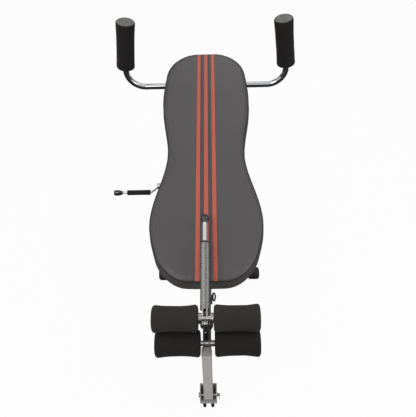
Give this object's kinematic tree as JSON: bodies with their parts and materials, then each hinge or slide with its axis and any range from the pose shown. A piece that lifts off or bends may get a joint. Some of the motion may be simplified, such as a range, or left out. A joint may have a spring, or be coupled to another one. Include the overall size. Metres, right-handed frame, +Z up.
{
  "type": "inversion table",
  "caption": "Inversion table: padded bed on a tilting beam over a floor base, with ankle rollers, a clamp lever, a foot post, hand grips and a tilt brake.",
  "frame": {"origin": "on the floor, under the middle of the machine's box", "axes": "+X to the right seen from the foot end, +Y towards the head end, +Z up"},
  "size_m": [0.866, 1.4345, 1.0809],
  "materials": {
    "frame_paint": "grey powder coat, satin",
    "post_paint": "light grey paint, satin",
    "lever_paint": "hammered grey paint",
    "steel": "zinc plated",
    "chrome": "polished",
    "foam": "matt closed-cell foam",
    "rubber": "matt",
    "black_plastic": "gloss",
    "grey_plastic": "matt",
    "board": "black felt-covered board",
    "pad_vinyl": "satin vinyl over foam"
  },
  "bodies": {
    "base": {"front_floor_tube": "frame_paint", "rear_floor_tube": "frame_paint", "floor_tube_caps": "rubber", "left_rail": "frame_paint", "right_rail": "frame_paint", "left_front_strut": "frame_paint", "right_front_strut": "frame_paint", "left_rear_strut": "frame_paint", "right_rear_strut": "frame_paint", "pivot_plates": "frame_paint", "pivot_bushes": "black_plastic", "brake_bracket": "frame_paint"},
    "brake_shoe": {"brake_shoe": "rubber"},
    "brake_lever": {"brake_lever_rod": "chrome", "brake_lever_grip": "foam", "brake_lever_knob": "black_plastic"},
    "bed": {"main_beam": "frame_paint", "beam_collar": "black_plastic", "beam_saddles": "frame_paint", "board_bolts": "steel", "seat_board": "board", "seat_pad": "pad_vinyl", "pivot_shaft": "chrome", "brake_sector": "frame_paint", "handle_bar": "chrome", "handle_clamps": "frame_paint", "handle_plugs": "black_plastic", "left_hand_grip": "foam", "right_hand_grip": "foam"},
    "pull_pin": {"pull_pin": "steel", "pull_pin_loop": "black_plastic"},
    "boom": {"boom_tube": "frame_paint", "ankle_bracket": "frame_paint", "rear_axle": "chrome", "rear_axle_spacer": "steel", "arm_pivot_bolts": "steel", "foot_post": "post_paint", "post_cap": "grey_plastic"},
    "foot": {"foot_bracket": "frame_paint", "foot_bolt": "steel", "foot_pin_ring": "steel", "foot_pads": "rubber"},
    "arm": {"ankle_arms": "steel", "front_axle": "chrome"},
    "link": {"tie_link": "steel"},
    "lever": {"lever_clevis": "steel", "lever_tube": "lever_paint", "lever_collar": "black_plastic"},
    "extension": {"lever_rod": "chrome", "ball_knob": "black_plastic"},
    "front_roller_left": {"front_roller_left": "foam", "front_bush_left": "black_plastic"},
    "front_roller_right": {"front_roller_right": "foam", "front_bush_right": "black_plastic"},
    "rear_roller_left": {"rear_roller_left": "foam", "rear_bush_left": "black_plastic"},
    "rear_roller_right": {"rear_roller_right": "foam", "rear_bush_right": "black_plastic"}
  },
  "joints": [
    {"name": "bed_tilt", "type": "hinge", "parent": "base", "child": "bed", "pos_m": [0, 0.18476, 0.58], "axis": [1, 0, 0], "range_deg": [-80, 0]},
    {"name": "brake_lever", "type": "hinge", "parent": "base", "child": "brake_lever", "pos_m": [0, 0.03775, 0.522], "axis": [-1, 0, 0], "range_deg": [0, 45]},
    {"name": "brake_shoe", "type": "slide", "parent": "base", "child": "brake_shoe", "axis": [0, -0.9302, -0.367], "range_m": [0, 0.0021]},
    {"name": "boom_slide", "type": "slide", "parent": "bed", "child": "boom", "axis": [0, -0.9426, -0.3338], "range_m": [-0.025, 0.15]},
    {"name": "pull_pin", "type": "slide", "parent": "bed", "child": "pull_pin", "axis": [1, 0, 0], "range_m": [0, 0.008], "stiffness_N_per_m": 400, "springref_m": -0.002},
    {"name": "foot_swivel", "type": "hinge", "parent": "boom", "child": "foot", "pos_m": [0, -0.6937, 0.058], "axis": [1, 0, 0], "range_deg": [-10, 10]},
    {"name": "ankle_arm", "type": "hinge", "parent": "boom", "child": "arm", "pos_m": [0, -0.58171, 0.34783], "axis": [1, 0, 0], "range_deg": [-48, 0]},
    {"name": "tie_link", "type": "hinge", "parent": "boom", "child": "link", "pos_m": [0, -0.60683, 0.33788], "axis": [1, 0, 0], "range_deg": [-50, 0]},
    {"name": "ankle_lever", "type": "hinge", "parent": "arm", "child": "lever", "pos_m": [0, -0.62996, 0.45115], "axis": [1, 0, 0], "range_deg": [0, 71]},
    {"name": "lever_extension", "type": "slide", "parent": "lever", "child": "extension", "axis": [0, 0.9426, 0.3338], "range_m": [-0.06, 0.03]},
    {"name": "front_left_spin", "type": "hinge", "parent": "arm", "child": "front_roller_left", "pos_m": [0, -0.62996, 0.45115], "axis": [1, 0, 0], "continuous": true},
    {"name": "front_right_spin", "type": "hinge", "parent": "arm", "child": "front_roller_right", "pos_m": [0, -0.62996, 0.45115], "axis": [1, 0, 0], "continuous": true},
    {"name": "rear_left_spin", "type": "hinge", "parent": "boom", "child": "rear_roller_left", "pos_m": [0, -0.6652, 0.35593], "axis": [1, 0, 0], "continuous": true},
    {"name": "rear_right_spin", "type": "hinge", "parent": "boom", "child": "rear_roller_right", "pos_m": [0, -0.6652, 0.35593], "axis": [1, 0, 0], "continuous": true}
  ],
  "couplings": [
    {"joint": "brake_shoe", "follows": "brake_lever", "m_per_rad": 0.002546},
    {"joint": "ankle_arm", "follows": "ankle_lever", "ratio": -0.66043},
    {"joint": "tie_link", "follows": "ankle_lever", "ratio": -0.68431}
  ]
}
